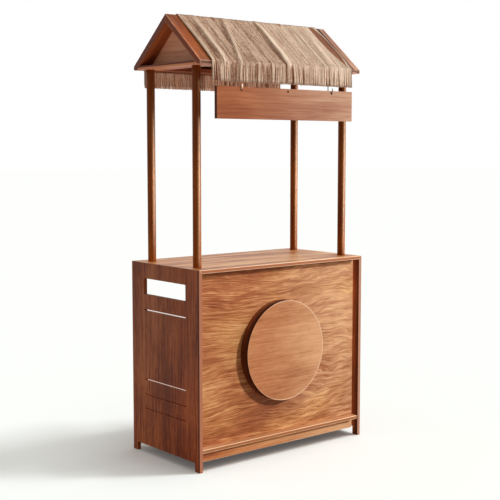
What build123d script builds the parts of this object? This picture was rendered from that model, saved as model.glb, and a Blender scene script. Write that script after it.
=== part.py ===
"""Wooden market stall: a board counter on four feet, round posts, a thatched gable roof and a hanging sign."""
import os
from math import cos, radians, tan

from build123d import *

os.makedirs("parts", exist_ok=True)

# Counter: x runs along the front, the front faces -Y, z is up from the floor
counter_width = 1056
counter_depth = 553
counter_height = 950
panel_thickness = 18
front_recess = 44
shelf_setback = 4
shelf_underside = 88
rail_underside = 34

# Side panels: feet, carrying handle and the slots and grooves below it
foot_height = 42
foot_depth = 38
handle_length = 340
handle_height = 78
handle_drop = 77
slot_height = 6
slot_drops = [229, 574]
groove_height = 4
groove_depth = 5
groove_drops = [650, 721]

# Round plaque on the front panel
plaque_radius = 247
plaque_thickness = 52
plaque_centre_height = 518

# Round posts between the counter and the roof
post_radius = 20
post_length = 933
post_inset_x = 59
post_inset_y = 92

# Gable roof
roof_end_inset = 18
eave_inset = 8
roof_pitch = 40.5
roof_board_thickness = 30
eave_plumb_height = 18
plate_thickness = 18
plate_width = 113
gable_thickness = 18
gable_setback = 70

# Thatch cover over both slopes, with a fringe below each eave
thatch_thickness = 8
thatch_end_gap = 65
fringe_drop = 74

# Hanging sign and its two hooks
sign_end_gap = 78
sign_height = 148
sign_thickness = 18
sign_drop = 95
sign_hole_radius = 6
sign_hole_drop = 13
hook_inset = 143
hook_radius = 16
hook_wire_radius = 2.5
hook_setback = 3
hook_sweep = 210

# Places that several pieces share
half_width = counter_width / 2
half_depth = counter_depth / 2
inner_width = counter_width - 2 * panel_thickness
inner_half_width = inner_width / 2
top_underside = counter_height - panel_thickness
shelf_top = shelf_underside + panel_thickness
front_face = -half_depth + front_recess
post_x = half_width - post_inset_x
post_y = half_depth - post_inset_y
eave_underside = counter_height + post_length
eave_top = eave_underside + eave_plumb_height
plate_top = eave_underside + plate_thickness
roof_length = counter_width - 2 * roof_end_inset
roof_depth = counter_depth - 2 * eave_inset
half_roof_length = roof_length / 2
half_roof_depth = roof_depth / 2
pitch_slope = tan(radians(roof_pitch))
board_plumb_thickness = roof_board_thickness / cos(radians(roof_pitch))
ridge_top = eave_top + half_roof_depth * pitch_slope
ridge_underside = ridge_top - board_plumb_thickness


def underside_reach(height):
    """Distance from the ridge line to the underside of a roof slope at a height."""
    return (ridge_underside - height) / pitch_slope


def save(piece, name):
    """Labels a finished piece and writes it to its own file."""
    piece.part.label = name
    export_step(piece.part, f"parts/{name}.step")


# Side panels: mitred to the counter top, cut by the handle, slots, grooves and the arch between the feet
with BuildPart() as left_side_panel:
    with BuildSketch(Plane.XZ.offset(half_depth)):
        with BuildLine():
            Polyline(
                (-half_width, 0),
                (-half_width, counter_height),
                (-inner_half_width, top_underside),
                (-inner_half_width, 0),
                close=True,
            )
        make_face()
    extrude(amount=-counter_depth)
    with BuildSketch(Plane.YZ.offset(-half_width)):
        with Locations((0, counter_height - handle_drop)):
            Rectangle(handle_length, handle_height, align=(Align.CENTER, Align.MAX))
        for drop in slot_drops:
            with Locations((0, counter_height - drop)):
                Rectangle(handle_length, slot_height, align=(Align.CENTER, Align.MAX))
        Rectangle(counter_depth - 2 * foot_depth, foot_height, align=(Align.CENTER, Align.MIN))
    extrude(amount=panel_thickness, mode=Mode.SUBTRACT)
    with BuildSketch(Plane.YZ.offset(-half_width)):
        for drop in groove_drops:
            with Locations((0, counter_height - drop)):
                Rectangle(handle_length, groove_height, align=(Align.CENTER, Align.MAX))
    extrude(amount=groove_depth, mode=Mode.SUBTRACT)
save(left_side_panel, "left_side_panel")

with BuildPart() as right_side_panel:
    mirror(left_side_panel.part, about=Plane.YZ)
save(right_side_panel, "right_side_panel")

# Counter top, mitred at both ends
with BuildPart() as counter_top:
    with BuildSketch(Plane.XZ.offset(half_depth)):
        with BuildLine():
            Polyline(
                (-half_width, counter_height),
                (half_width, counter_height),
                (inner_half_width, top_underside),
                (-inner_half_width, top_underside),
                close=True,
            )
        make_face()
    extrude(amount=-counter_depth)
save(counter_top, "counter_top")

# Base shelf, whose front edge shows as a ledge below the front panel
with BuildPart() as base_shelf:
    with BuildSketch(Plane.XY.offset(shelf_underside)):
        Rectangle(inner_width, counter_depth - 2 * shelf_setback)
    extrude(amount=panel_thickness)
save(base_shelf, "base_shelf")

# Front panel, set back between the sides
with BuildPart() as front_panel:
    with BuildSketch(Plane.XZ.offset(-front_face)):
        with Locations((0, shelf_top)):
            Rectangle(inner_width, top_underside - shelf_top, align=(Align.CENTER, Align.MIN))
    extrude(amount=-panel_thickness)
save(front_panel, "front_panel")

# Toe rails under the shelf, front and back
with BuildPart() as front_toe_rail:
    with BuildSketch(Plane.XZ.offset(-front_face)):
        with Locations((0, rail_underside)):
            Rectangle(inner_width, shelf_underside - rail_underside, align=(Align.CENTER, Align.MIN))
    extrude(amount=-panel_thickness)
save(front_toe_rail, "front_toe_rail")

with BuildPart() as back_toe_rail:
    mirror(front_toe_rail.part, about=Plane.XZ)
save(back_toe_rail, "back_toe_rail")

# Round plaque
with BuildPart() as round_plaque:
    with BuildSketch(Plane.XZ.offset(-front_face)):
        with Locations((0, plaque_centre_height)):
            Circle(plaque_radius)
    extrude(amount=plaque_thickness)
save(round_plaque, "round_plaque")

# Posts
post_places = {
    "front_left_post": (-post_x, -post_y),
    "front_right_post": (post_x, -post_y),
    "back_left_post": (-post_x, post_y),
    "back_right_post": (post_x, post_y),
}
for name, place in post_places.items():
    with BuildPart() as post:
        with BuildSketch(Plane.XY.offset(counter_height)):
            with Locations(place):
                Circle(post_radius)
        extrude(amount=post_length)
    save(post, name)

# Side plates on the post tops, bevelled at both ends to the slopes
with BuildPart() as left_roof_plate:
    with BuildSketch(Plane.YZ.offset(-half_roof_length)):
        with BuildLine():
            Polyline(
                (-underside_reach(eave_underside), eave_underside),
                (-underside_reach(plate_top), plate_top),
                (underside_reach(plate_top), plate_top),
                (underside_reach(eave_underside), eave_underside),
                close=True,
            )
        make_face()
    extrude(amount=plate_width)
save(left_roof_plate, "left_roof_plate")

with BuildPart() as right_roof_plate:
    mirror(left_roof_plate.part, about=Plane.YZ)
save(right_roof_plate, "right_roof_plate")

# Eave plates between the side plates, bevelled along the slope
plate_span = roof_length - 2 * plate_width
plate_inner_edge = -half_roof_depth + plate_width
with BuildPart() as front_roof_plate:
    with BuildSketch(Plane.YZ.offset(-plate_span / 2)):
        with BuildLine():
            Polyline(
                (-underside_reach(eave_underside), eave_underside),
                (-underside_reach(plate_top), plate_top),
                (plate_inner_edge, plate_top),
                (plate_inner_edge, eave_underside),
                close=True,
            )
        make_face()
    extrude(amount=plate_span)
save(front_roof_plate, "front_roof_plate")

with BuildPart() as back_roof_plate:
    mirror(front_roof_plate.part, about=Plane.XZ)
save(back_roof_plate, "back_roof_plate")

# Gable panels, standing on the side plates under the slopes
with BuildPart() as left_gable_panel:
    with BuildSketch(Plane.YZ.offset(-half_roof_length + gable_setback)):
        with BuildLine():
            Polyline(
                (-underside_reach(plate_top), plate_top),
                (0, ridge_underside),
                (underside_reach(plate_top), plate_top),
                close=True,
            )
        make_face()
    extrude(amount=gable_thickness)
save(left_gable_panel, "left_gable_panel")

with BuildPart() as right_gable_panel:
    mirror(left_gable_panel.part, about=Plane.YZ)
save(right_gable_panel, "right_gable_panel")

# Roof boards, mitred at the ridge, with a plumb and a level cut at the eave
with BuildPart() as front_roof_board:
    with BuildSketch(Plane.YZ.offset(-half_roof_length)):
        with BuildLine():
            Polyline(
                (0, ridge_top),
                (0, ridge_underside),
                (-underside_reach(eave_underside), eave_underside),
                (-half_roof_depth, eave_underside),
                (-half_roof_depth, eave_top),
                close=True,
            )
        make_face()
    extrude(amount=roof_length)
save(front_roof_board, "front_roof_board")

with BuildPart() as back_roof_board:
    mirror(front_roof_board.part, about=Plane.XZ)
save(back_roof_board, "back_roof_board")

# Thatch: a thin cover on each slope that bends over the eave into a hanging fringe
thatch_length = roof_length - 2 * thatch_end_gap
thatch_plumb_thickness = thatch_thickness / cos(radians(roof_pitch))
fringe_bottom = eave_underside - fringe_drop
fringe_front = -half_roof_depth - thatch_thickness
with BuildPart() as front_thatch:
    with BuildSketch(Plane.YZ.offset(-thatch_length / 2)):
        with BuildLine():
            Polyline(
                (0, ridge_top),
                (-half_roof_depth, eave_top),
                (-half_roof_depth, fringe_bottom),
                (fringe_front, fringe_bottom),
                (fringe_front, ridge_top + thatch_plumb_thickness + fringe_front * pitch_slope),
                (0, ridge_top + thatch_plumb_thickness),
                close=True,
            )
        make_face()
    extrude(amount=thatch_length)
save(front_thatch, "front_thatch")

with BuildPart() as back_thatch:
    mirror(front_thatch.part, about=Plane.XZ)
save(back_thatch, "back_thatch")

# Sign board, hung by two holes, with a third hole at the middle
sign_length = roof_length - 2 * sign_end_gap
hook_spacing = sign_length - 2 * hook_inset
hook_shank_y = -half_roof_depth + hook_setback
sign_axis_y = hook_shank_y - hook_radius
sign_top = eave_underside - sign_drop
sign_hole_z = sign_top - sign_hole_drop
with BuildPart() as sign_board:
    with BuildSketch(Plane.XZ.offset(sign_thickness / 2 - sign_axis_y)):
        with Locations((0, sign_top)):
            Rectangle(sign_length, sign_height, align=(Align.CENTER, Align.MAX))
        with Locations((-hook_spacing / 2, sign_hole_z), (0, sign_hole_z), (hook_spacing / 2, sign_hole_z)):
            Circle(sign_hole_radius, mode=Mode.SUBTRACT)
    extrude(amount=-sign_thickness)
save(sign_board, "sign_board")

# Sign hooks: a straight shank under the eave, bent round through the sign's hole
sign_axis_z = sign_hole_z + hook_radius
hook_places = {
    "left_sign_hook": -hook_spacing / 2,
    "right_sign_hook": hook_spacing / 2,
}
for name, place in hook_places.items():
    with BuildPart() as sign_hook:
        with BuildLine(Plane.YZ.offset(place)):
            shank = Line((hook_shank_y, eave_underside), (hook_shank_y, sign_axis_z))
            CenterArc((sign_axis_y, sign_axis_z), hook_radius, 0, -hook_sweep)
        with BuildSketch(Plane(origin=shank @ 0, z_dir=shank % 0)):
            Circle(hook_wire_radius)
        sweep()
    save(sign_hook, name)
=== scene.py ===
"""Looks of the wooden market stall: boards, posts, raffia cover with its fringe, light and camera."""

from math import hypot, pi, radians, tan

import bpy
import numpy as np
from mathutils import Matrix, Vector


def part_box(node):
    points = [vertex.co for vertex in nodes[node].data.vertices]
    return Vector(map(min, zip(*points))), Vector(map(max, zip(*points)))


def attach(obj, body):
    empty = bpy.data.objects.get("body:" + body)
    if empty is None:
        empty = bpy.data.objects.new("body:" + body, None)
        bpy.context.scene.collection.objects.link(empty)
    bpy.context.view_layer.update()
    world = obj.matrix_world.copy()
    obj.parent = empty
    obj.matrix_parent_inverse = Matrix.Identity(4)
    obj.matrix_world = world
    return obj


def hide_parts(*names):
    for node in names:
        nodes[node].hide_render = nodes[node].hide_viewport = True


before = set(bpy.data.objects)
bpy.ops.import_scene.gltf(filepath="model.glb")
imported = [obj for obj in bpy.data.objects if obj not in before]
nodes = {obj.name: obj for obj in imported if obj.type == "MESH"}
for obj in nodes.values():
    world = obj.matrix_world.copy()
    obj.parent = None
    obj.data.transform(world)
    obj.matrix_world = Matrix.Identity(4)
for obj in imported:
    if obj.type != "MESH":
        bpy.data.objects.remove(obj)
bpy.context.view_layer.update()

X_AXIS = 0
Y_AXIS = 1
Z_AXIS = 2
WHITE = (1.0, 1.0, 1.0)
SMOOTH = "SMOOTHSTEP"

# Camera, fitted to the counter's corners in the photograph
CAMERA_PLACE = (-3.393, -4.089, 1.503)
CAMERA_YAW_DEG = 39.72
CAMERA_PITCH_DEG = -5.5
CAMERA_REACH = 200
FOCAL_PIXELS = 1052
IMAGE_PIXELS = 500
SENSOR_MM = 36

# Lamps: name, direction toward the lamp, level on a surface that faces it, spread in degrees and colour
KEY = ("key", (0.417, -0.773, 0.479), 0.66, 5.0, (1.0, 0.97, 0.93))
FLOOR_LAMPS = (
    ("low_floor_lamp", (0.61, -0.4, 0.68), 0.06, 6.0, WHITE),
    ("middle_floor_lamp", (0.47, -0.3, 0.83), 0.17, 6.0, WHITE),
    ("high_floor_lamp", (0.35, -0.2, 0.915), 0.2, 8.0, WHITE),
    ("top_floor_lamp", (0.11, -0.08, 1.0), 0.33, 20.0, WHITE),
)
POST_LAMP = ("post_lamp", (0.87, -0.48, 0.25), 0.45, 14.0, (1.0, 1.0, 0.85))
POST_GLINT = ("post_glint", (0.68, -0.73, -0.06), 5.8, 16.0, (1.0, 0.86, 0.62))
POST_SHEEN = ("post_sheen", (0.5, -0.86, -0.06), 3.8, 50.0, (1.0, 0.66, 0.28))
EAVE_LAMP = ("eave_lamp", (-0.3, -0.8, -0.52), 0.42, 30.0, (1.0, 0.95, 0.9))
SOFTBOX_PLACE = (2.5, -1.5, 2.0)
SOFTBOX_AIM = (0.1, -0.1, 1.1)
SOFTBOX_SIZE = (1.0, 1.6)
SOFTBOX_GLOW = 7.0

# Surround and floor
SURROUND_LOW = 0.07
SURROUND_HIGH = 0.5
SURROUND_COLOUR = (1.0, 0.9, 0.82)
FLOOR_HALF = 60.0
FLOOR_COLOUR = (0.868, 0.925, 0.912)
FLOOR_BOUNCE = (0.38, 0.3, 0.24)
FLOOR_GLOW = 0.08

# Boards: how far their arrises are eased, wider where a pale bevel paints a highlight on them, and their
# gloss
WELD_DISTANCE = 0.00002
ARRIS_WIDTH = 0.0012
HIGHLIGHT_ARRIS_WIDTH = 0.003
ARRIS_SEGMENTS = 2
ARRIS_ANGLE_DEG = 32
WOOD_SPECULAR = 0.18

# Scales of the wood's noises along the grain, across it and through the board
SLOW_WAVE_SCALE = (1.3, 2.6, 2.6)
QUICK_WAVE_SCALE = (5.0, 15.0, 15.0)
FLECK_SCALE = (22.0, 62.0, 62.0)
FIBRE_SCALE = (8.0, 340.0, 340.0)
CLOUD_SCALE = (2.8, 6.0, 6.0)
VEIN_SCALE = (4.0, 58.0, 58.0)
RIPPLE_SCALE = (6.0, 44.0, 6.0)
PATCH_SCALE = (2.4, 5.5, 5.5)
STREAK_ROUGHNESS = 0.6

# Wood tones: the middle of a noise, and the ranges between which the layers change
MIDDLE = 0.5
WAVER_REACH = (-0.35, 0.25)
VEIN_RANGE = (0.52, 0.72)
RIPPLE_LEAN_DEG = -13
RIPPLE_SHARES = (0.5, 1.0)
RIPPLE_CLOUDS = (0.4, 0.6)
TONE_STOPS = (0.2, 0.5, 0.8)
RIGHT_LIGHT_STOPS = (0.1, 0.6)
PATCH_SHARE = 0.7
PATCH_RANGE = (0.46, 0.64)

# Marks, painted shade and painted light on the wood: shares of their half width that are full, shares of
# colour and ranges of facing
SCRIBE_CORE = 0.5
STRIPE_CORE = 0.6
FACING_RANGE = (0.7, 0.9)
END_SHARE = 0.8
SKY_SHARE = 0.9
SKY_RANGE = (0.2, 0.9)
SKY_START = 0.3
RIM_GRAIN = (0.6, 1.4)
RING_LEAST = 0.15
RING_FADE = 0.8
LIT_RANGE = (0.6, 0.9)
LIT_SHINE = 0.6
LIT_ROUGHNESS = 0.1

# Relief of the wood
FIBRE_RELIEF = 0.6
LINE_RELIEF = 0.4
WOOD_BUMP = 0.25
BUMP_DEPTH = 0.0006

# Wire of the hooks
STAIN_SCALE = (160.0, 160.0, 90.0)
STAIN_STOPS = (0.35, 0.65)
WIRE_ROUGHNESS = (0.45, 0.3)
HOOK_BEND_Y = -0.279
HOOK_SHANK_Y = -0.270

# Places on the part that the looks follow
board_low, board_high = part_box("front_roof_board")
thatch_low, thatch_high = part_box("front_thatch")
plaque_low, plaque_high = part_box("round_plaque")
PLAQUE_Z = (plaque_low.z + plaque_high.z) / 2
PLAQUE_RADIUS = (plaque_high.x - plaque_low.x) / 2
RING_INNER = PLAQUE_RADIUS - 0.006
RING_OUTER = PLAQUE_RADIUS - 0.002
COUNTER_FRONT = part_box("counter_top")[0].y
SHELF_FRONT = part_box("base_shelf")[0].y
PANEL_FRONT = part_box("front_panel")[0].y
PANEL_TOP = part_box("front_panel")[1].z
RAIL_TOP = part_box("front_toe_rail")[1].z
PLATE_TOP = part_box("left_roof_plate")[1].z
EDGE_DEPTH = 0.0015
SLOT_REACH = 0.522
ROOF_PITCH_DEG = 40.5
RIDGE_Z = board_high.z
EAVE_Y = -board_low.y
EAVE_UNDERSIDE = board_low.z
EAVE_TOP = RIDGE_Z - EAVE_Y * tan(radians(ROOF_PITCH_DEG))
FRINGE_Z = thatch_low.z
COVER_HALF = thatch_high.x
COVER_SHADE_X = COVER_HALF + 0.015

# Raffia cover: the run from the ridge over a slope, round the eave and down the fringe
SLOPE_RUN = hypot(EAVE_Y, RIDGE_Z - EAVE_TOP)
RIDGE_BEND = 0.008
EAVE_BEND = 0.012
FRINGE_RUN = EAVE_TOP - FRINGE_Z
RUN_KNOTS = np.cumsum([0, RIDGE_BEND, SLOPE_RUN, EAVE_BEND, FRINGE_RUN])
EAVE_AT = RUN_KNOTS[2]
FRINGE_AT = RUN_KNOTS[3]
RUN_END = RUN_KNOTS[4]
BELOW_EAVE = FRINGE_AT + EAVE_TOP - EAVE_UNDERSIDE


class Graph:
    """Nodes of one material or world, made by name and joined as they are made."""

    def __init__(self, owner):
        owner.use_nodes = True
        self.tree = owner.node_tree
        self.tree.nodes.clear()

    def add(self, kind, inputs=None, **settings):
        made = self.tree.nodes.new(kind)
        for name, value in settings.items():
            setattr(made, name, value)
        for key, value in (inputs or {}).items():
            if isinstance(value, bpy.types.NodeSocket):
                self.tree.links.new(value, made.inputs[key])
            else:
                made.inputs[key].default_value = value
        return made

    def maths(self, operation, first, second=0.0, third=0.0):
        return self.add("ShaderNodeMath", {0: first, 1: second, 2: third}, operation=operation).outputs[0]

    def centred(self, value, weight):
        """A noise brought to zero about its middle and weighted."""
        return self.maths("MULTIPLY", self.maths("SUBTRACT", value, MIDDLE), weight)

    def off(self, value, place):
        """How far a value is from a place."""
        return self.maths("ABSOLUTE", self.maths("SUBTRACT", value, place))

    def between(self, value, low, high):
        """1 where a value lies between two others, 0 elsewhere."""
        return self.maths("COMPARE", value, (low + high) / 2, (high - low) / 2)

    def parts(self, vector):
        """The three parts of a vector."""
        return self.add("ShaderNodeSeparateXYZ", {0: vector}).outputs

    def joined(self, parts):
        """A vector from its three parts."""
        return self.add("ShaderNodeCombineXYZ", dict(enumerate(parts))).outputs[0]

    def scaled(self, vector, scale):
        return self.add("ShaderNodeVectorMath", {0: vector, 1: scale}, operation="MULTIPLY").outputs[0]

    def noise(self, vector, scale, detail=2.0, roughness=0.5):
        """Noise stretched by a scale of its own along each axis."""
        made = self.add(
            "ShaderNodeTexNoise",
            {"Vector": self.scaled(vector, scale), "Scale": 1.0, "Detail": detail, "Roughness": roughness},
        )
        return made.outputs["Fac"]

    def ramp(self, factor, places, colours):
        """A colour that goes through several others at places of a factor."""
        made = self.add("ShaderNodeValToRGB", {"Fac": factor})
        elements = made.color_ramp.elements
        while len(elements) < len(places):
            elements.new(MIDDLE)
        for element, place, colour in zip(elements, places, colours):
            element.position = place
            element.color = (*colour, 1.0)
        return made.outputs["Color"]

    def spread(self, value, low, high, start=0.0, end=1.0, kind="LINEAR"):
        """A value between a start and an end, spread between two levels."""
        made = self.add(
            "ShaderNodeMapRange",
            {"Value": value, "From Min": start, "From Max": end, "To Min": low, "To Max": high},
            interpolation_type=kind,
        )
        return made.outputs["Result"]

    def blend(self, factor, first, second):
        """A colour between two others."""
        made = self.add("ShaderNodeMix", data_type="RGBA")
        for socket, value in zip((made.inputs[0], made.inputs[6], made.inputs[7]), (factor, first, second)):
            if isinstance(value, bpy.types.NodeSocket):
                self.tree.links.new(value, socket)
            else:
                socket.default_value = (*value, 1.0)
        return made.outputs[2]


class Board(Graph):
    """Material of one sawn board, laid on in layers over a tone that flows along its grain."""

    def __init__(self, name, axes, tilt_deg, shift):
        """axes are the part's axes along the grain, across it and through the board."""
        self.material = bpy.data.materials.new(name)
        super().__init__(self.material)
        coordinates = self.add("ShaderNodeTexCoord").outputs
        place = coordinates["Object"]
        self.normal = coordinates["Normal"]
        self.places = self.parts(place)
        self.x, self.y, self.z = self.places
        turned = self.add("ShaderNodeMapping", {"Vector": place, "Rotation": (radians(tilt_deg), 0, 0)})
        turned_parts = self.parts(turned.outputs[0])
        grain = self.joined([turned_parts[axis] for axis in axes])
        self.grain = self.add("ShaderNodeVectorMath", {0: grain, 1: shift}, operation="ADD").outputs[0]
        self.shine = 0.0

    def bend_grain(self, sway, waver):
        """Bends the grain in slow waves, and in quick ones whose share changes along x."""
        along, across, through = self.parts(self.grain)
        slow = self.noise(self.grain, SLOW_WAVE_SCALE, detail=1.5)
        quick = self.noise(self.grain, QUICK_WAVE_SCALE)
        bent = self.maths("ADD", across, self.centred(slow, 2 * sway))
        share = self.spread(self.x, *waver, *WAVER_REACH)
        bent = self.maths("MULTIPLY_ADD", self.centred(quick, sway), share, bent)
        self.flowing = self.joined((along, bent, through))

    def streaks(self, scale, detail):
        """Noise that flows along the grain."""
        return self.noise(self.flowing, scale, detail, STREAK_ROUGHNESS)

    def lay_tone(self, band_scale, line_scale, weights):
        """Tone about a middle, from bands, lines, flecks, fibres and clouds, each with its weight."""
        band = self.streaks((*band_scale, band_scale[1]), detail=3.5)
        self.line = self.streaks((*line_scale, line_scale[1]), detail=3.0)
        fleck = self.streaks(FLECK_SCALE, detail=2.5)
        self.fibre = self.noise(self.flowing, FIBRE_SCALE)
        self.cloud = self.noise(self.grain, CLOUD_SCALE, detail=2.5)
        self.tone = MIDDLE
        for layer, weight in zip((band, self.line, fleck, self.fibre, self.cloud), weights):
            self.tone = self.maths("ADD", self.tone, self.centred(layer, weight))

    def add_veins(self, weight):
        """Paler veins along the grain."""
        vein = self.streaks(VEIN_SCALE, detail=2.5)
        self.tone = self.maths("ADD", self.tone, self.spread(vein, 0.0, weight, *VEIN_RANGE))

    def add_ripples(self, weight, start, end):
        """Leaning ripples that grow between two places along x, more in the paler clouds."""
        lean = (0, 0, radians(RIPPLE_LEAN_DEG))
        leaning = self.add("ShaderNodeMapping", {"Vector": self.flowing, "Rotation": lean}).outputs[0]
        ripple = self.noise(leaning, RIPPLE_SCALE, detail=2.5)
        growing = self.spread(self.x, 0.0, weight, start, end, SMOOTH)
        growing = self.maths("MULTIPLY", growing, self.spread(self.cloud, *RIPPLE_SHARES, *RIPPLE_CLOUDS))
        self.tone = self.maths("MULTIPLY_ADD", self.maths("SUBTRACT", ripple, MIDDLE), growing, self.tone)

    def paint_floor_shade(self, depth, start, end):
        """Painted shade: lowers the tone towards the floor, between two heights."""
        self.tone = self.maths("ADD", self.tone, self.spread(self.z, -depth, 0.0, start, end, SMOOTH))

    def stain(self, colours):
        """Gives the tone its deep, middle and pale colours."""
        self.colour = self.ramp(self.tone, TONE_STOPS, colours)

    def fade(self, middle, paler, share, start, end):
        """Painted light that turns the colour paler between two places along x."""
        light_share = self.spread(self.x, 0.0, share, start, end, SMOOTH)
        self.colour = self.blend(light_share, self.colour, self.ramp(self.tone, RIGHT_LIGHT_STOPS, (middle, paler)))

    def tint(self, colours):
        """Patches of another hue, in its deep, middle and pale colours."""
        patch = self.noise(self.grain, PATCH_SCALE)
        tinted = self.ramp(self.tone, TONE_STOPS, colours)
        self.colour = self.blend(self.spread(patch, 0.0, PATCH_SHARE, *PATCH_RANGE), self.colour, tinted)

    def gain(self, axis, gain, start, end):
        """Multiplies the colour by a gain that dies away between two places along an axis."""
        share = self.spread(self.places[axis], 1.0, 0.0, start, end, SMOOTH)
        self.colour = self.scaled(self.colour, self.blend(share, WHITE, gain))

    def scribe(self, colour, share, lines, half, low, high):
        """Faint upright lines at places along y, between two heights."""
        upright = self.between(self.z, low, high)
        for line_y in lines:
            on_line = self.spread(self.off(self.y, line_y), share, 0.0, SCRIBE_CORE * half, half)
            self.colour = self.blend(self.maths("MULTIPLY", on_line, upright), self.colour, colour)

    def stripe(self, colour, axis, middle, half):
        """A stripe about a place along an axis, soft at its edges."""
        off = self.off(self.places[axis], middle)
        on_stripe = self.spread(off, 1.0, 0.0, STRIPE_CORE * half, half, SMOOTH)
        self.colour = self.blend(on_stripe, self.colour, colour)

    def paint_rim_shade(self, way, front, back, start, end, sky):
        """Painted shade on the sides that don't look one way, from front to back along y, with painted
        skylight where they look up.
        """
        facing = self.add("ShaderNodeVectorMath", {0: self.normal, 1: way}, operation="DOT_PRODUCT")
        self.facing = self.spread(facing.outputs["Value"], 0.0, 1.0, *FACING_RANGE)
        rim = self.ramp(self.spread(self.y, 0.0, 1.0, start, end), (0.0, 1.0), (front, back))
        skyward = self.spread(self.parts(self.normal)[Z_AXIS], 0.0, SKY_SHARE, *SKY_RANGE)
        behind = self.spread(self.y, 0.0, 1.0, start + SKY_START * (end - start), end)
        rim = self.blend(self.maths("MULTIPLY", skyward, behind), rim, sky)
        grained = {0: rim, "Scale": self.spread(self.tone, *RIM_GRAIN, TONE_STOPS[0], TONE_STOPS[2])}
        rim = self.add("ShaderNodeVectorMath", grained, operation="SCALE").outputs[0]
        self.colour = self.blend(self.facing, rim, self.colour)

    def paint_ring_highlight(self, colour, ring_z, inner, outer):
        """A painted highlight round a disc whose rim is painted, fainter on the left."""
        off_z = self.maths("SUBTRACT", self.z, ring_z)
        square = self.maths("MULTIPLY_ADD", off_z, off_z, self.maths("MULTIPLY", self.x, self.x))
        on_ring = self.spread(self.maths("SQRT", square), 0.0, 1.0, inner, outer)
        on_ring = self.maths("MULTIPLY", on_ring, self.facing)
        lit_side = self.spread(self.x, RING_LEAST, 1.0, -RING_FADE * inner, 0.0, SMOOTH)
        self.colour = self.blend(self.maths("MULTIPLY", on_ring, lit_side), self.colour, colour)

    def paint_ends(self, colour):
        """Colours the faces that look along x."""
        sideways = self.maths("ABSOLUTE", self.parts(self.normal)[X_AXIS])
        self.colour = self.blend(self.spread(sideways, 0.0, END_SHARE, *FACING_RANGE), self.colour, colour)

    def paint_nosing(self, colour, nosing_y):
        """Colours what lies in front of a place along y."""
        self.colour = self.blend(self.maths("LESS_THAN", self.y, nosing_y), self.colour, colour)

    def gloss(self, roughness):
        """Roughness that changes with the fibres."""
        self.rough = self.spread(self.fibre, *roughness)

    def light_slots(self, colour, low, high, reach):
        """Painted light on faces that look up, between two heights and within a reach of the middle along x:
        pale and glossy.
        """
        upward = self.spread(self.parts(self.normal)[Z_AXIS], 0.0, 1.0, *LIT_RANGE)
        within = self.maths("LESS_THAN", self.maths("ABSOLUTE", self.x), reach)
        within = self.maths("MULTIPLY", self.between(self.z, low, high), within)
        lit = self.maths("MULTIPLY", upward, within)
        self.shine = self.maths("MULTIPLY", lit, LIT_SHINE)
        self.rough = self.maths("MULTIPLY", self.rough, self.spread(lit, 1.0, LIT_ROUGHNESS))
        self.colour = self.blend(lit, self.colour, colour)

    def close(self, specular):
        """Joins colour, gloss and relief in the shader and returns the material."""
        line_relief = self.maths("MULTIPLY", self.line, LINE_RELIEF)
        relief = self.maths("MULTIPLY_ADD", self.fibre, FIBRE_RELIEF, line_relief)
        bump = self.add("ShaderNodeBump", {"Height": relief, "Strength": WOOD_BUMP, "Distance": BUMP_DEPTH})
        shader = self.add(
            "ShaderNodeBsdfPrincipled",
            {
                "Base Color": self.colour,
                "Roughness": self.rough,
                "Specular IOR Level": specular,
                "Metallic": self.shine,
                "Normal": bump.outputs[0],
            },
        )
        self.add("ShaderNodeOutputMaterial", {"Surface": shader.outputs[0]})
        return self.material


def linear(red, green, blue):
    """A colour given in screen values from 0 to 255, in scene light."""
    parts = [value / 255 for value in (red, green, blue)]
    return tuple(part / 12.92 if part <= 0.04045 else ((part + 0.055) / 1.055) ** 2.4 for part in parts)


def wood(
    name,
    axes,
    colours,
    tilt_deg=0.0,
    shift=(0.0, 0.0, 0.0),
    sway=0.05,
    waver=(0.3, 0.3),
    band_weight=1.0,
    band_scale=(1.1, 15.0),
    line_weight=0.7,
    line_scale=(3.0, 95.0),
    fleck_weight=0.0,
    fibre_weight=0.5,
    cloud_weight=0.7,
    vein_weight=0.0,
    ripples=None,
    floor_shade=None,
    fade=None,
    tint=None,
    gains=(),
    scribe=None,
    stripes=(),
    rim=None,
    ring=None,
    ends=None,
    nosing=None,
    lit_slots=None,
    roughness=(0.42, 0.58),
    specular=WOOD_SPECULAR,
):
    """Material of a board. Each layer that isn't always there takes what its method in Board asks for."""
    board = Board(name, axes, tilt_deg, shift)
    board.bend_grain(sway, waver)
    weights = (band_weight, line_weight, fleck_weight, fibre_weight, cloud_weight)
    board.lay_tone(band_scale, line_scale, weights)
    if vein_weight:
        board.add_veins(vein_weight)
    if ripples:
        board.add_ripples(*ripples)
    if floor_shade:
        board.paint_floor_shade(*floor_shade)
    board.stain(colours)
    if fade:
        board.fade(colours[1], *fade)
    if tint:
        board.tint(tint)
    for gain in gains:
        board.gain(*gain)
    if scribe:
        board.scribe(*scribe)
    for stripe in stripes:
        board.stripe(*stripe)
    if rim:
        board.paint_rim_shade(*rim)
    if ring:
        board.paint_ring_highlight(*ring)
    if ends:
        board.paint_ends(ends)
    if nosing:
        board.paint_nosing(*nosing)
    board.gloss(roughness)
    if lit_slots:
        board.light_slots(*lit_slots)
    return board.close(specular)


def metal(name, dull, bright, shank):
    """Bent wire with a dull, slightly uneven plating, and a darker shank behind the bend."""
    material = bpy.data.materials.new(name)
    graph = Graph(material)
    place = graph.add("ShaderNodeTexCoord").outputs["Object"]
    stain = graph.noise(place, STAIN_SCALE, detail=3.0)
    behind = graph.spread(graph.parts(place)[Y_AXIS], 0.0, 1.0, HOOK_BEND_Y, HOOK_SHANK_Y)
    plated = graph.ramp(stain, STAIN_STOPS, (dull, bright))
    shader = graph.add(
        "ShaderNodeBsdfPrincipled",
        {
            "Base Color": graph.blend(behind, plated, shank),
            "Metallic": 1.0,
            "Roughness": graph.spread(stain, *WIRE_ROUGHNESS),
        },
    )
    graph.add("ShaderNodeOutputMaterial", {"Surface": shader.outputs[0]})
    return material


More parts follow.
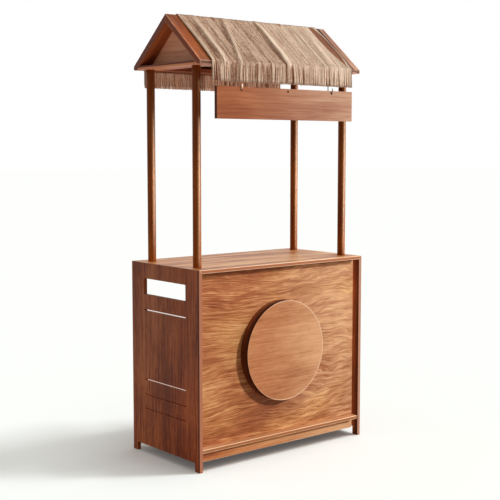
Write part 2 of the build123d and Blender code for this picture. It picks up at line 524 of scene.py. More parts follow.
def dress(material, *names, arris_highlight=None, eased=True):
    """Gives CAD nodes their material and eases their arrises, on which a second, pale material paints a
    highlight.
    """
    for name in names:
        node = nodes[name]
        node.data.materials.clear()
        node.data.materials.append(material)
        if not eased:
            continue
        weld = node.modifiers.new("weld", "WELD")
        weld.merge_threshold = WELD_DISTANCE
        bevel = node.modifiers.new("arris", "BEVEL")
        bevel.width = ARRIS_WIDTH
        bevel.segments = ARRIS_SEGMENTS
        bevel.limit_method = "ANGLE"
        bevel.angle_limit = radians(ARRIS_ANGLE_DEG)
        bevel.harden_normals = True
        if arris_highlight:
            node.data.materials.append(arris_highlight)
            bevel.width = HIGHLIGHT_ARRIS_WIDTH
            bevel.material = 1


# Wood colours: deep, middle and pale
front_colours = (linear(124, 62, 32), linear(176, 105, 64), linear(226, 168, 116))
side_colours = (linear(112, 54, 31), linear(160, 90, 56), linear(192, 122, 84))
top_colours = (linear(164, 96, 52), linear(212, 144, 90), linear(238, 186, 130))
shelf_colours = (linear(176, 112, 70), linear(212, 152, 106), linear(234, 186, 140))
plaque_colours = (linear(150, 88, 52), linear(188, 122, 80), linear(212, 152, 108))
roof_colours = (linear(110, 50, 20), linear(156, 83, 43), linear(186, 112, 68))
gable_colours = (linear(204, 140, 114), linear(238, 179, 147), linear(246, 200, 171))
plate_colours = (linear(150, 84, 52), linear(196, 122, 84), linear(214, 148, 110))
# Deeper wood for the parts under the roof, as painted shade
under_roof_shade_colours = (linear(98, 40, 14), linear(126, 58, 26), linear(146, 80, 42))
post_colours = (linear(96, 42, 8), linear(124, 61, 16), linear(148, 86, 30))
sign_colours = (linear(122, 60, 31), linear(157, 87, 48), linear(186, 120, 76))
rail_colours = (linear(150, 82, 44), linear(202, 128, 80), linear(236, 180, 126))
golden_colours = (linear(136, 76, 34), linear(196, 132, 78), linear(232, 186, 128))
# Pale colours of the highlights painted on eased arrises
highlight_roof_colours = (linear(176, 124, 98), linear(198, 150, 124), linear(214, 174, 150))
highlight_wood_colours = (linear(232, 182, 136), linear(248, 212, 172), linear(254, 232, 202))
# Paler colours of the painted light that grows towards +x
right_light_wood = linear(238, 196, 152)
right_light_roof = linear(222, 184, 162)
right_light_sign = linear(204, 171, 145)

# What both side panels share: their grain, painted light from the floor that makes them lighter towards the
# bottom, a deeper, redder tone towards the front, faint lines and painted light on the slot floors
SIDE_LOOKS = {
    "sway": 0.02,
    "band_weight": 1.3,
    "band_scale": (0.8, 9.0),
    "line_weight": 0.8,
    "line_scale": (2.5, 80.0),
    "fleck_weight": 0.5,
    "fibre_weight": 1.2,
    "cloud_weight": 1.2,
    # Painted light from the floor along z, a deeper, redder tone towards the front along y
    "gains": ((Z_AXIS, (1.4, 1.26, 1.0), 0.1, 0.7), (Y_AXIS, (0.9, 0.76, 0.68), -0.18, 0.06)),
    "scribe": (linear(60, 22, 8), 0.4, (0.157, -0.187), 0.004, 0.376, 0.715),
    "lit_slots": (linear(224, 160, 132), 0.34, 0.73, SLOT_REACH),
}

# Woods of the counter, posts, roof and sign, and the wire of the hooks
# Pale bevel materials that paint highlights along the eased arrises
highlit_roof_arris = wood("roof_arris_highlight", (X_AXIS, Y_AXIS, Z_AXIS), highlight_roof_colours)
highlit_wood_arris = wood("wood_arris_highlight", (X_AXIS, Y_AXIS, Z_AXIS), highlight_wood_colours)
dress(
    wood(
        "front_board_wood",
        (X_AXIS, Z_AXIS, Y_AXIS),
        front_colours,
        sway=0.06,
        waver=(0.4, 1.15),
        band_weight=0.42,
        band_scale=(1.8, 12.0),
        line_weight=0.6,
        line_scale=(3.4, 84.0),
        fleck_weight=0.3,
        fibre_weight=1.1,
        cloud_weight=0.5,
        vein_weight=0.22,
        ripples=(0.9, -0.05, 0.3),
        # Painted shade towards the floor, and painted light growing towards +x
        floor_shade=(0.11, 0.1, 0.62),
        fade=(right_light_wood, 0.64, -0.25, 0.42),
        tint=golden_colours,
        # Painted shadow under the counter top's front edge
        stripes=((linear(74, 26, 10), Z_AXIS, PANEL_TOP, 0.011),),
    ),
    "front_panel",
)
dress(
    wood(
        "rail_board_wood",
        (X_AXIS, Z_AXIS, Y_AXIS),
        rail_colours,
        shift=(0.9, 0.3, 0.0),
        sway=0.03,
        # Painted light growing towards +x, and painted shadow under the shelf along the rail's top
        fade=(right_light_wood, 0.6, -0.25, 0.42),
        stripes=((linear(60, 22, 8), Z_AXIS, RAIL_TOP, 0.009),),
    ),
    "front_toe_rail",
    "back_toe_rail",
    arris_highlight=highlit_wood_arris,
)
dress(
    wood(
        "plaque_wood",
        (X_AXIS, Z_AXIS, Y_AXIS),
        plaque_colours,
        shift=(3.1, 0.4, 0.2),
        sway=0.025,
        band_weight=0.5,
        line_weight=0.6,
        fleck_weight=0.3,
        # Painted light growing towards +x; the rim is painted shade, darkest at the front, with painted
        # skylight where it looks up; the ring is a painted highlight
        fade=(right_light_wood, 0.55, -0.2, 0.3),
        rim=(
            (0, -1, 0),
            linear(44, 12, 2),
            linear(104, 50, 26),
            plaque_low.y,
            plaque_high.y,
            linear(186, 116, 72),
        ),
        ring=(linear(238, 200, 168), PLAQUE_Z, RING_INNER, RING_OUTER),
    ),
    "round_plaque",
)
dress(
    wood(
        "left_board_wood",
        (Z_AXIS, Y_AXIS, X_AXIS),
        side_colours,
        shift=(1.3, 0.13, 0.4),
        stripes=((linear(60, 15, 4), Y_AXIS, COUNTER_FRONT, 0.012),),
        nosing=(linear(180, 120, 92), COUNTER_FRONT + EDGE_DEPTH),
        **SIDE_LOOKS,
    ),
    "left_side_panel",
)
dress(
    wood(
        "right_board_wood",
        (Z_AXIS, Y_AXIS, X_AXIS),
        side_colours,
        shift=(2.6, 0.5, 0.1),
        # Painted shade on the reveal, darkest at the front edge
        rim=(
            (1, 0, 0),
            linear(64, 16, 4),
            linear(196, 112, 66),
            COUNTER_FRONT,
            PANEL_FRONT,
            linear(196, 112, 66),
        ),
        nosing=(linear(186, 138, 116), COUNTER_FRONT + EDGE_DEPTH),
        **SIDE_LOOKS,
    ),
    "right_side_panel",
)
dress(
    wood(
        "top_board_wood",
        (X_AXIS, Y_AXIS, Z_AXIS),
        top_colours,
        shift=(0.6, 1.2, 0.0),
        sway=0.03,
        line_weight=2.0,
        line_scale=(2.2, 26.0),
        nosing=(linear(176, 108, 74), COUNTER_FRONT + EDGE_DEPTH),
        roughness=(0.36, 0.5),
        specular=0.24,
    ),
    "counter_top",
    arris_highlight=highlit_wood_arris,
)
dress(
    wood(
        "shelf_board_wood",
        (X_AXIS, Y_AXIS, Z_AXIS),
        shelf_colours,
        shift=(0.2, 0.7, 0.0),
        sway=0.03,
        nosing=(linear(170, 108, 68), SHELF_FRONT + EDGE_DEPTH),
    ),
    "base_shelf",
    arris_highlight=highlit_wood_arris,
)
dress(
    wood(
        "post_wood_grain",
        (Z_AXIS, X_AXIS, Y_AXIS),
        post_colours,
        sway=0.01,
        # Painted shade under the roof, darker from 1.3 m up, and painted light from the counter top at the
        # foot
        gains=((Z_AXIS, (1.38, 1.36, 1.2), 1.3, 1.65), (Z_AXIS, (1.3, 1.4, 1.1), 0.97, 1.14)),
        roughness=(0.4, 0.5),
        specular=0.12,
    ),
    "front_left_post",
    "front_right_post",
    "back_left_post",
    "back_right_post",
)
dress(
    wood(
        "front_roof_wood",
        (Y_AXIS, X_AXIS, Z_AXIS),
        roof_colours,
        tilt_deg=-ROOF_PITCH_DEG,
        sway=0.02,
        # Painted light growing towards +x, and painted shade beside the cover's right edge
        fade=(right_light_roof, 0.78, 0.1, 0.5),
        stripes=((linear(46, 22, 16), X_AXIS, COVER_SHADE_X, 0.014),),
        ends=linear(112, 60, 44),
        nosing=(linear(108, 76, 62), board_low.y + EDGE_DEPTH),
        specular=0.1,
    ),
    "front_roof_board",
    arris_highlight=highlit_roof_arris,
)
dress(
    wood(
        "back_roof_wood",
        (Y_AXIS, X_AXIS, Z_AXIS),
        under_roof_shade_colours,
        tilt_deg=ROOF_PITCH_DEG,
        sway=0.02,
        ends=linear(100, 56, 44),
    ),
    "back_roof_board",
)
dress(
    wood(
        "side_plate_wood",
        (Y_AXIS, X_AXIS, Z_AXIS),
        plate_colours,
        sway=0.02,
        # Painted shade under the eave along the plate's top
        stripes=((linear(96, 44, 26), Z_AXIS, PLATE_TOP, 0.010),),
    ),
    "left_roof_plate",
    "right_roof_plate",
)
dress(
    wood("eave_plate_wood", (X_AXIS, Y_AXIS, Z_AXIS), under_roof_shade_colours, sway=0.02),
    "front_roof_plate",
    "back_roof_plate",
)
dress(
    wood("gable_wood", (Y_AXIS, Z_AXIS, X_AXIS), gable_colours, sway=0.03),
    "left_gable_panel",
    "right_gable_panel",
)
dress(
    wood(
        "sign_board_wood",
        (X_AXIS, Z_AXIS, Y_AXIS),
        sign_colours,
        sway=0.02,
        band_weight=0.6,
        # Painted light growing towards +x, and end faces painted dark as shade
        fade=(right_light_sign, 0.64, -0.36, 0.4),
        ends=linear(54, 24, 14),
    ),
    "sign_board",
    eased=False,
)
brass_wire = metal("brass_wire", linear(214, 186, 158), linear(252, 240, 222), linear(96, 58, 36))
dress(brass_wire, "left_sign_hook")
steel_wire = metal("steel_wire", linear(60, 56, 54), linear(124, 118, 114), linear(84, 70, 60))
dress(steel_wire, "right_sign_hook")

# Folds of the cover: place at the ridge and at the eave, height, and width on each side
FRONT_FOLDS = (
    (-0.430, -0.438, 0.006, 0.012, 0.010),
    (-0.367, -0.376, 0.010, 0.010, 0.030),
    (-0.179, -0.280, 0.009, 0.008, 0.020),
    (0.026, 0.009, 0.014, 0.008, 0.034),
    (0.266, 0.259, 0.004, 0.012, 0.030),
    (0.355, 0.300, 0.006, 0.016, 0.034),
    (0.436, 0.438, 0.008, 0.008, 0.008),
)
BACK_FOLDS = (
    (-0.436, -0.438, 0.007, 0.010, 0.008),
    (-0.240, -0.215, 0.010, 0.012, 0.036),
    (0.050, 0.070, 0.006, 0.014, 0.026),
    (0.190, 0.150, 0.011, 0.034, 0.012),
    (0.375, 0.366, 0.007, 0.020, 0.016),
    (0.434, 0.438, 0.006, 0.010, 0.010),
)

# Strength of the folds, and of the shade in the valley on their left, at shares of the run
FOLD_RISE = ((0, 0.2, 0.6, 0.76, 0.85, 1), (0.1, 0.7, 1, 0.65, 0.25, 0.1))
SHADE_RISE = ((0, 0.2, 0.7, 0.82), (0.2, 1, 1, 0.1))
SHADE_WEIGHT = 22
SHADE_WIDTHS_OFF = 2.0

# Partings of the strands: x at the start and at the end, half width, and both ends in shares of the run
FRONT_PARTINGS = (
    (0.400, 0.424, 0.025, -0.08, 0.74),
    (0.000, 0.010, 0.006, 0.72, 1.05),
    (0.040, 0.046, 0.007, 0.76, 1.05),
    (-0.395, -0.405, 0.004, 0.2, 0.85),
)
BACK_PARTINGS = (
    (-0.300, -0.290, 0.006, 0.1, 0.85),
    (0.110, 0.120, 0.008, 0.7, 1.05),
    (0.330, 0.325, 0.005, 0.2, 0.9),
)
LEAF_POWER = 0.7

# Sheet under the strands: its lift, its soft waves and the rows and columns of its mesh
SHEET_LIFT = 0.0025
SHEET_THICKNESS = 0.001
SHEET_STOP = 0.006
SHEET_SEED = 5
WAVE_COUNT = 7
WAVE_HEIGHT = 0.003
WAVE_LENGTHS = (0.03, 0.14)
WAVE_LEAN = 0.12
WAVE_RISE = ((0, 0.12), (0.3, 1))
RIDGE_REACH = 0.05
SHEET_COLUMNS = 301
SHEET_ROWS = (4, 40, 6, 10)

# Strands: how they are placed, drift, waver, hang in bundles, lift, roll and taper
STRAND_ROWS = (20, 4, 8)
FIRST_STEP = 0.004
PLACE_SHARES = (0.1, 0.9)
BUNDLE_WIDTHS = (0.008, 0.017)
STRAND_END_SPREAD = 0.0007
BUNDLE_END_SPREAD = 0.0006
DRIFT_SEED = 40
DRIFT_COUNT = 6
DRIFT_REACH = 0.006
DRIFT_ALONG = (6, 26)
DRIFT_DOWN = (4, 14)
WAVER_DOWN = (8, 22)
WAVER_START = (0, 6)
WAVER_SPREAD = 0.0006
PINCH_SHARES = (0.3, 0.7)
PINCH_POWER = 1.3
LIFT_RISE = ((0, 0.08, RUN_END), (0.3, 1, 1))
FRINGE_LIFT_SPREAD = 0.0012
ROLL_SPREAD = 0.18
TAPER = ((0, 0.95, 1), (1, 1, 0.75))
HEIGHT_SHARE = 0.25

# Tones of the strands: painted highlights on the folds, by bundle, down the fringe, painted shade and a
# painted highlight at the cover's right end, paler strands at its left end, and along its front painted light
# that grows towards +x with painted shade on the left of its fringe
FOLD_FULL = 0.009
FOLD_HIGHLIGHT = 0.5
FOLD_HIGHLIGHT_POWER = 1.6
BUNDLE_TONES = ((0, 0.3), (0.045, 0.23))
FRINGE_TONES = ((0, 0.1, 0.7, 0.9, 1), (0, -0.06, -0.04, 0.12, 0.4))
RIGHT_END_SHADE_AND_HIGHLIGHT = ((0.002, 0.005, 0.013, 0.018), (-0.7, 0.25, 0.2, 0))
LEFT_END_TONES = ((0.008, 0.016), (0.3, 0))
FRONT_FRINGE_LEFT_SHADE = 0.1
FRONT_LIGHT_SLOPE = 0.12
FRONT_RIGHT_LIGHT = 0.2

# Layers of strands on each side: name, count, start of the run, lifts and widths
STRAND_LAYERS = (
    ("strands", 1000, 0.002, (0.0004, 0.0016), (0.0016, 0.0034)),
    ("fringe", 360, EAVE_AT - 0.02, (0.0004, 0.0022), (0.0018, 0.0038)),
    ("inner_fringe", 420, BELOW_EAVE, (0.0008, 0.0016), (0.0018, 0.0036)),
)
# Sides of the cover: name, direction along y, seed, how much longer its strands hang, and where they part
COVER_SIDES = (
    ("front", -1, 11, -0.002, FRONT_PARTINGS),
    ("back", 1, 23, 0.008, BACK_PARTINGS),
)

# Raffia material: scales of its noises along x, y and z, weights in its tone, and gloss
STREAK_SCALE = (190.0, 14.0, 14.0)
SPECKLE_SCALE = (170.0, 80.0, 80.0)
BLOTCH_SCALE = (14.0, 5.0, 5.0)
STREAK_WEIGHT = 1.1
SPECKLE_WEIGHT = 0.9
BLOTCH_WEIGHT = 0.24
STRAND_WEIGHT = 0.3
RAFFIA_TONE = 0.535
RAFFIA_STOPS = (0.1, 0.45, 0.9)
RAFFIA_ROUGHNESS = (0.55, 0.8)
RAFFIA_BUMP = 0.3


def roof_line(run, lift, side):
    """Place (y, z) and slope at a run from the ridge, lifted off the boards; side is -1 in front, else 1."""
    turn = np.radians([0, ROOF_PITCH_DEG, ROOF_PITCH_DEG, 90, 90])
    angle = np.interp(run, RUN_KNOTS, turn)
    out = np.interp(run, RUN_KNOTS, [0, 0, EAVE_Y, EAVE_Y, EAVE_Y])
    height = np.interp(run, RUN_KNOTS, [RIDGE_Z, RIDGE_Z, EAVE_TOP, EAVE_TOP, FRINGE_Z])
    return side * (out + np.sin(angle) * lift), height + np.cos(angle) * lift, angle


def side_folds(side):
    """Folds of the front (-1) or the back (1)."""
    return FRONT_FOLDS if side < 0 else BACK_FOLDS


def fold_lift(x, run, side):
    """Height of the folds at a place along the roof and a run from the ridge."""
    share = np.clip(run / EAVE_AT, 0, 1)
    rise = np.interp(run / RUN_END, *FOLD_RISE)
    total = np.zeros(np.broadcast(x, run).shape)
    for at_ridge, at_eave, height, left, right in side_folds(side):
        off = x - (at_ridge + (at_eave - at_ridge) * share)
        width = np.where(off < 0, left, right)
        total = total + height * rise * np.exp(-((off / width) ** 2))
    return total


def fold_shade(x, run, side):
    """Darker tone in the valley on the left of each fold."""
    share = np.clip(run / EAVE_AT, 0, 1)
    rise = np.interp(run / RUN_END, *SHADE_RISE)
    total = np.zeros(np.broadcast(x, run).shape)
    for at_ridge, at_eave, height, left, _ in side_folds(side):
        off = (x - (at_ridge + (at_eave - at_ridge) * share)) / left
        total = total - SHADE_WEIGHT * height * rise * np.exp(-((off + SHADE_WIDTHS_OFF) ** 2))
    return total


def soft_waves(x, run, side):
    """Slow waves along the roof that keep the cover from lying dead flat."""
    rng = np.random.default_rng(SHEET_SEED + side)
    total = np.zeros(np.broadcast(x, run).shape)
    for _ in range(WAVE_COUNT):
        length = rng.uniform(*WAVE_LENGTHS)
        lean = rng.uniform(-WAVE_LEAN, WAVE_LEAN)
        start = rng.uniform(0, 2 * pi)
        total = total + np.sin((x + lean * run) * 2 * pi / length + start)
    return WAVE_HEIGHT * (total / WAVE_COUNT + 0.5).clip(0, None)


def sheet_lift(x, run, side):
    """Height of the cover above the boards."""
    waves = soft_waves(x, run, side) * np.interp(run, *WAVE_RISE)
    return SHEET_LIFT + fold_lift(x, run, side) + waves


def grid_mesh(name, points, quads, triangles=()):
    """A mesh from arrays of points, four-sided and three-sided faces."""
    mesh = bpy.data.meshes.new(name)
    corners = np.concatenate([np.asarray(quads, int).ravel(), np.asarray(triangles, int).ravel()])
    sizes = np.concatenate([np.full(len(quads), 4), np.full(len(triangles), 3)]).astype(int)
    starts = np.concatenate([[0], np.cumsum(sizes)[:-1]])
    mesh.vertices.add(len(points))
    mesh.vertices.foreach_set("co", np.asarray(points, np.float32).ravel())
    mesh.loops.add(len(corners))
    mesh.loops.foreach_set("vertex_index", corners.astype(np.int32))
    mesh.polygons.add(len(sizes))
    mesh.polygons.foreach_set("loop_start", starts.astype(np.int32))
    mesh.polygons.foreach_set("use_smooth", np.ones(len(sizes), bool))
    mesh.update(calc_edges=True)
    mesh.validate()
    return mesh


def raffia_piece(name, mesh, material):
    """Adds a raffia piece that rides on the stall."""
    piece = bpy.data.objects.new(name, mesh)
    bpy.context.scene.collection.objects.link(piece)
    mesh.materials.append(material)
    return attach(piece, "stall")


def build_cover(material):
    """One sheet draped over both slopes, down to just above the ends of the fringes."""
    across = np.linspace(-COVER_HALF, COVER_HALF, SHEET_COLUMNS)
    ridge_rows, slope_rows, eave_rows, fringe_rows = SHEET_ROWS
    half_run = np.concatenate([
        np.linspace(0, RIDGE_BEND, ridge_rows)[:-1],
        np.linspace(RIDGE_BEND, EAVE_AT, slope_rows)[:-1],
        np.linspace(EAVE_AT, FRINGE_AT, eave_rows)[:-1],
        np.linspace(FRINGE_AT, RUN_END - SHEET_STOP, fringe_rows),
    ])
    rows = []
    for side, runs in ((-1, half_run[::-1]), (1, half_run[1:])):
        x, run = np.meshgrid(across, runs)
        lift = sheet_lift(x, run, side)
        ridge_lift = (sheet_lift(x, run, -1) + sheet_lift(x, run, 1)) / 2
        from_ridge = np.clip(run / RIDGE_REACH, 0, 1)
        y, z, _ = roof_line(run, ridge_lift + (lift - ridge_lift) * from_ridge, side)
        rows.append(np.stack([x, y, z], axis=-1))
    points = np.concatenate(rows)
    count_down, count_across = points.shape[:2]
    index = np.arange(count_down * count_across).reshape(count_down, count_across)
    corners = [index[:-1, :-1], index[:-1, 1:], index[1:, 1:], index[1:, :-1]]
    quads = np.stack(corners, axis=-1).reshape(-1, 4)
    mesh = grid_mesh("thatch_cover", points.reshape(-1, 3), quads)
    piece = raffia_piece("thatch_cover", mesh, material)
    solidify = piece.modifiers.new("thickness", "SOLIDIFY")
    solidify.thickness = SHEET_THICKNESS
    solidify.offset = 0
    return piece


def strand_mesh(name, places, ups, across, widths, heights, tones):
    """Closed three-sided strands along rows of places; ups and across are the directions of each section."""
    count, steps = places.shape[:2]
    half = 0.5 * widths[..., None] * across
    crown = heights[..., None] * ups
    sections = np.stack([places - half, places + half, places + crown], axis=2)
    index = np.arange(count * steps * 3).reshape(count, steps, 3)
    quads = []
    for corner in range(3):
        following = (corner + 1) % 3
        above = [index[:, :-1, corner], index[:, :-1, following]]
        below = [index[:, 1:, following], index[:, 1:, corner]]
        quads.append(np.stack(above + below, axis=-1).reshape(-1, 4))
    caps = np.concatenate([index[:, 0, ::-1], index[:, -1]])
    mesh = grid_mesh(name, sections.reshape(-1, 3), np.concatenate(quads), caps)
    shade = mesh.attributes.new("tone", "FLOAT", "POINT")
    shade.data.foreach_set("value", np.repeat(tones.ravel(), 3).astype(np.float32))
    return mesh


def part_strands(x, run, partings):
    """Strands pushed aside where they part."""
    for start_x, end_x, half, start, end in partings:
        share = (run / RUN_END - start) / (end - start)
        inside = np.clip(share, 0, 1)
        centre = start_x + (end_x - start_x) * inside
        leaf = half * np.sin(pi * inside) ** LEAF_POWER
        off = x - centre
        hand = np.where(off.mean(axis=1, keepdims=True) < 0, -1, 1)
        x = centre + hand * np.sqrt(off**2 + leaf**2)
    return x


def bundle_centres(x, rng):
    """Middle and number of the bundle that each strand hangs in."""
    low, high = BUNDLE_WIDTHS
    edges = np.cumsum(rng.uniform(low, high, int(4 * COVER_HALF / low))) - COVER_HALF
    which = np.searchsorted(edges, x)
    padded = np.concatenate([[-COVER_HALF], edges])
    return (padded[which] + padded[which + 1]) / 2, which


def drift(x, run, side):
    """Slow sideways drift that neighbouring strands share."""
    rng = np.random.default_rng(DRIFT_SEED + side)
    total = np.zeros(np.broadcast(x, run).shape)
    for _ in range(DRIFT_COUNT):
        along = rng.uniform(*DRIFT_ALONG)
        down = rng.uniform(*DRIFT_DOWN)
        total = total + np.sin(x * along + run * down + rng.uniform(0, 2 * pi))
    return DRIFT_REACH * total / DRIFT_COUNT


def strand_stations(start):
    """Runs from a start to the end of the fringe at which a strand has a section."""
    slope_rows, eave_rows, fringe_rows = STRAND_ROWS
    stations = np.concatenate([
        np.linspace(0, EAVE_AT, slope_rows),
        np.linspace(EAVE_AT, FRINGE_AT, eave_rows)[1:],
        np.linspace(FRINGE_AT, RUN_END, fringe_rows)[1:],
    ])
    return np.concatenate([[start], stations[stations > start + FIRST_STEP]])


def strand_tones(x, run, in_fringe, bundle_tone, side, inside):
    """Tone along each strand: painted highlights on folds, paler tips, painted shade in valleys and at the
    cover's right end, painted light towards +x in front, uneven between bundles.
    """
    on_fold = np.clip(fold_lift(x, run, side) / FOLD_FULL, 0, 1)
    tones = on_fold**FOLD_HIGHLIGHT_POWER * FOLD_HIGHLIGHT + fold_shade(x, run, side)
    tones = tones + bundle_tone * np.interp(in_fringe, *BUNDLE_TONES)
    if not inside:
        tones = tones + np.interp(in_fringe, *FRINGE_TONES)
    tones = tones + np.interp(COVER_HALF - x, *RIGHT_END_SHADE_AND_HIGHLIGHT)
    tones = tones + np.interp(COVER_HALF + x, *LEFT_END_TONES)
    if side < 0:
        tones = tones - FRONT_FRINGE_LEFT_SHADE * in_fringe * np.clip(-x / COVER_HALF, 0, 1)
        tones = tones + FRONT_LIGHT_SLOPE * x / COVER_HALF + FRONT_RIGHT_LIGHT * np.clip(x / COVER_HALF, 0, 1)
    return tones


def build_strands(name, side, count, seed, start, lifts, widths, material, extra, partings=(), inside=False):
    """Strands from a run on the slope, round the eave and down into the fringe, or on the fringe's inside."""
    rng = np.random.default_rng(seed)
    facing = -1 if inside else 1
    down = (strand_stations(start) - start) / (RUN_END - start)
    begin = start + rng.uniform(0, FIRST_STEP, (count, 1))
    shares = (np.arange(count) + rng.uniform(*PLACE_SHARES, count)) / count
    foot = -COVER_HALF + 2 * COVER_HALF * shares
    centre, which = bundle_centres(foot, rng)
    bundles = which.max() + 1
    ends = RUN_END + extra + rng.normal(0, STRAND_END_SPREAD, (count, 1))
    ends = ends + rng.normal(0, BUNDLE_END_SPREAD, bundles)[which][:, None]
    run = begin + (ends - begin) * down
    in_fringe = np.clip((run - FRINGE_AT) / (RUN_END - FRINGE_AT), 0, 1)
    x = foot[:, None] + drift(foot[:, None], run, side) * (1 - in_fringe)
    waver = np.sin(run * rng.uniform(*WAVER_DOWN, (count, 1)) + rng.uniform(*WAVER_START, (count, 1)))
    x = x + rng.normal(0, WAVER_SPREAD, (count, 1)) * waver
    pinch = rng.uniform(*PINCH_SHARES, bundles)[which][:, None]
    x = x + (centre[:, None] - x) * pinch * in_fringe**PINCH_POWER
    x = part_strands(x, run, partings)
    x = np.clip(x, -COVER_HALF, COVER_HALF)
    low, high = lifts
    lift = low + (high - low) * rng.uniform(0, 1, (count, 1)) ** 2 * np.interp(run, *LIFT_RISE)
    if not inside:
        lift = lift + rng.normal(0, FRINGE_LIFT_SPREAD, (count, 1)) * in_fringe + sheet_lift(x, run, side)
    y, z, angle = roof_line(run, lift, side)
    z = np.where(run > RUN_END, FRINGE_Z - (run - RUN_END), z)
    places = np.stack([x, y, z], axis=-1)
    flat = np.zeros_like(angle)
    ups = facing * np.stack([flat, side * np.sin(angle), np.cos(angle)], axis=-1)
    sideways = facing * np.stack([flat + 1, flat, flat], axis=-1)
    roll = rng.normal(0, ROLL_SPREAD, (count, 1)) + flat
    across = np.cos(roll)[..., None] * sideways + np.sin(roll)[..., None] * ups
    lifted = -np.sin(roll)[..., None] * sideways + np.cos(roll)[..., None] * ups
    broad = rng.uniform(*widths, (count, 1)) * np.interp(down, *TAPER)
    bundle_tone = rng.normal(0, 1, bundles)[which][:, None]
    tones = strand_tones(x, run, in_fringe, bundle_tone, side, inside)
    mesh = strand_mesh(name, places, lifted, across, broad, broad * HEIGHT_SHARE, tones)
    return raffia_piece(name, mesh, material)


def raffia(name, deep, middle, pale):
    """Dry raffia: a tone for each strand, streaks along it and a dull sheen."""
    material = bpy.data.materials.new(name)
    graph = Graph(material)
    place = graph.add("ShaderNodeTexCoord").outputs["Object"]
    strand = graph.add("ShaderNodeNewGeometry").outputs["Random Per Island"]
    streak = graph.noise(place, STREAK_SCALE, detail=3.0)
    speckle = graph.noise(place, SPECKLE_SCALE)
    blotch = graph.noise(place, BLOTCH_SCALE)
    tone = graph.add("ShaderNodeAttribute", attribute_name="tone").outputs["Fac"]
    for layer, weight in (
        (streak, STREAK_WEIGHT),
        (speckle, SPECKLE_WEIGHT),
        (blotch, BLOTCH_WEIGHT),
        (strand, STRAND_WEIGHT),
    ):
        tone = graph.maths("ADD", graph.centred(layer, weight), tone)
    tone = graph.maths("ADD", tone, RAFFIA_TONE)
    bump = graph.add("ShaderNodeBump", {"Height": streak, "Strength": RAFFIA_BUMP, "Distance": BUMP_DEPTH})
    shader = graph.add(
        "ShaderNodeBsdfPrincipled",
        {
            "Base Color": graph.ramp(tone, RAFFIA_STOPS, (deep, middle, pale)),
            "Roughness": graph.spread(streak, *RAFFIA_ROUGHNESS),
            "Normal": bump.outputs[0],
        },
    )
    graph.add("ShaderNodeOutputMaterial", {"Surface": shader.outputs[0]})
    return material


strand_raffia = raffia("strand_raffia", linear(134, 82, 52), linear(208, 174, 148), linear(246, 226, 204))
inner_raffia = raffia("inner_raffia", linear(150, 98, 72), linear(204, 156, 126), linear(226, 188, 160))
# The sheet under the strands is dark, as painted shade in the gaps between them
shade_backing_raffia = raffia("shade_backing_raffia", linear(74, 32, 12), linear(118, 62, 30), linear(150, 98, 62))
cover = build_cover(shade_backing_raffia)
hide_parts("front_thatch", "back_thatch")
fringes = []
inner_fringes = []
for side_name, side, side_seed, extra, side_partings in COVER_SIDES:
    for step, (layer_name, count, start, lifts, widths) in enumerate(STRAND_LAYERS):
        inside = layer_name == "inner_fringe"
        piece = build_strands(
            f"{side_name}_{layer_name}",
            side,
            count,
            side_seed + step,
            start,
            lifts,
            widths,
            inner_raffia if inside else strand_raffia,
            extra,
            () if inside else side_partings,
            inside,
        )
        (inner_fringes if inside else fringes).append(piece)


def build_camera():
    """A camera at the photograph's viewpoint."""
    data = bpy.data.cameras.new("camera")
    data.sensor_width = SENSOR_MM
    data.lens = FOCAL_PIXELS / IMAGE_PIXELS * SENSOR_MM
    data.clip_end = CAMERA_REACH
    camera = bpy.data.objects.new("camera", data)
    camera.location = CAMERA_PLACE
    camera.rotation_euler = (radians(90 + CAMERA_PITCH_DEG), 0, radians(-CAMERA_YAW_DEG))
    bpy.context.scene.collection.objects.link(camera)
    bpy.context.scene.camera = camera


def seen_directly(graph):
    """1 for rays that show a thing itself, in the picture, a reflection or through glass."""
    rays = graph.add("ShaderNodeLightPath").outputs
    either = graph.maths("MAXIMUM", rays["Is Camera Ray"], rays["Is Glossy Ray"])
    return graph.maths("MAXIMUM", either, rays["Is Transmission Ray"])


def build_surround():
    """Pale surround: white where it is seen, elsewhere a soft fill that grows towards the top."""
    world = bpy.data.worlds.new("surround")
    bpy.context.scene.world = world
    graph = Graph(world)
    direction = graph.add("ShaderNodeTexCoord").outputs["Generated"]
    level = graph.spread(graph.parts(direction)[Z_AXIS], SURROUND_LOW, SURROUND_HIGH)
    fill = graph.add("ShaderNodeBackground", {"Color": (*SURROUND_COLOUR, 1), "Strength": level})
    white = graph.add("ShaderNodeBackground", {"Color": (*WHITE, 1), "Strength": 1.0})
    shaders = {0: seen_directly(graph), 1: fill.outputs[0], 2: white.outputs[0]}
    either = graph.add("ShaderNodeMixShader", shaders)
    graph.add("ShaderNodeOutputWorld", {"Surface": either.outputs[0]})


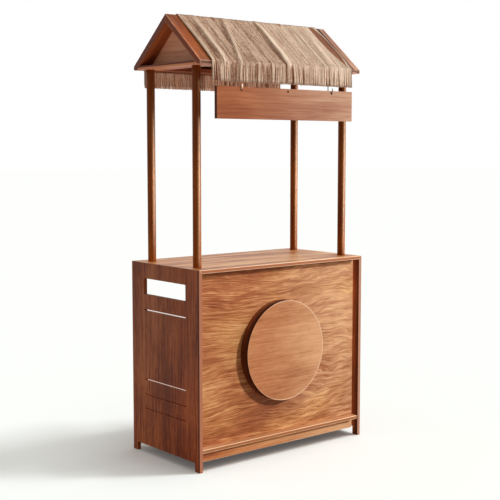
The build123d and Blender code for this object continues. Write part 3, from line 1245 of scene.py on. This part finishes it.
def build_floor():
    """Plain pale floor that keeps the stall's shadow."""
    mesh = bpy.data.meshes.new("floor")
    corners = [(x * FLOOR_HALF, y * FLOOR_HALF, 0) for x, y in ((-1, -1), (1, -1), (1, 1), (-1, 1))]
    mesh.from_pydata(corners, [], [(0, 1, 2, 3)])
    floor = bpy.data.objects.new("floor", mesh)
    bpy.context.scene.collection.objects.link(floor)
    material = bpy.data.materials.new("floor")
    graph = Graph(material)
    matt = graph.add("ShaderNodeBsdfDiffuse", {"Color": (*FLOOR_COLOUR, 1)})
    glow = graph.add("ShaderNodeEmission", {"Color": (*WHITE, 1), "Strength": FLOOR_GLOW})
    both = graph.add("ShaderNodeAddShader", {0: matt.outputs[0], 1: glow.outputs[0]})
    dim = graph.add("ShaderNodeBsdfDiffuse", {"Color": (*FLOOR_BOUNCE, 1)})
    shaders = {0: seen_directly(graph), 1: dim.outputs[0], 2: both.outputs[0]}
    either = graph.add("ShaderNodeMixShader", shaders)
    graph.add("ShaderNodeOutputMaterial", {"Surface": either.outputs[0]})
    mesh.materials.append(material)
    return floor


def light_group(name, things, state):
    """A group of things that a lamp or its shadows take in alone, or leave out."""
    group = bpy.data.collections.new(name)
    for thing in things:
        group.objects.link(thing)
    for member in group.collection_objects:
        member.light_linking.link_state = state
    return group


def hang_lamp(data, place, toward, group, blockers=None):
    """Places a lamp that shines away from a direction; groups say what it lights and what blocks it."""
    lamp = bpy.data.objects.new(data.name, data)
    lamp.location = place
    lamp.rotation_euler = Vector(toward).to_track_quat("Z", "Y").to_euler()
    lamp.visible_camera = False
    lamp.light_linking.receiver_collection = group
    lamp.light_linking.blocker_collection = blockers
    bpy.context.scene.collection.objects.link(lamp)
    return lamp


def hang_sun(lamp, group, blockers=None, gloss_only=False):
    """A lamp so far off that its light is parallel, which may show in the gloss alone."""
    name, direction, level, spread_deg, colour = lamp
    data = bpy.data.lights.new(name, "SUN")
    data.energy = pi * level
    data.angle = radians(spread_deg)
    data.color = colour
    made = hang_lamp(data, direction, direction, group, blockers)
    made.visible_diffuse = not gloss_only


def build_lamps(floor):
    """The key, lamps that lay the floor's shadow, light on the posts, fill under the eaves and a softbox."""
    posts = [nodes[name] for name in nodes if name.endswith("_post")]
    eaves = [nodes[name] for name in nodes if name.endswith(("_plate", "_roof_board", "_gable_panel"))]
    past_side = light_group("past_side", [nodes["right_side_panel"]], "EXCLUDE")
    past_floor = light_group("past_floor", [floor], "EXCLUDE")
    hang_sun(KEY, light_group("key_leaves_out", [floor, *posts], "EXCLUDE"), past_side)
    floor_only = light_group("floor_only", [floor], "INCLUDE")
    for lamp in FLOOR_LAMPS:
        hang_sun(lamp, floor_only)
    posts_only = light_group("posts_only", posts, "INCLUDE")
    hang_sun(POST_LAMP, posts_only)
    hang_sun(POST_GLINT, posts_only, past_floor, gloss_only=True)
    hang_sun(POST_SHEEN, posts_only, past_floor, gloss_only=True)
    hang_sun(EAVE_LAMP, light_group("eaves_only", eaves + inner_fringes, "INCLUDE"), past_floor)
    softbox = bpy.data.lights.new("softbox", "AREA")
    softbox.shape = "RECTANGLE"
    softbox.size, softbox.size_y = SOFTBOX_SIZE
    softbox.energy = SOFTBOX_GLOW * pi * SOFTBOX_SIZE[0] * SOFTBOX_SIZE[1]
    toward = Vector(SOFTBOX_PLACE) - Vector(SOFTBOX_AIM)
    hang_lamp(softbox, SOFTBOX_PLACE, toward, past_floor, past_side)


build_camera()
build_surround()
build_lamps(build_floor())

scene = bpy.context.scene
scene.view_settings.view_transform = "Standard"
bpy.context.view_layer.update()
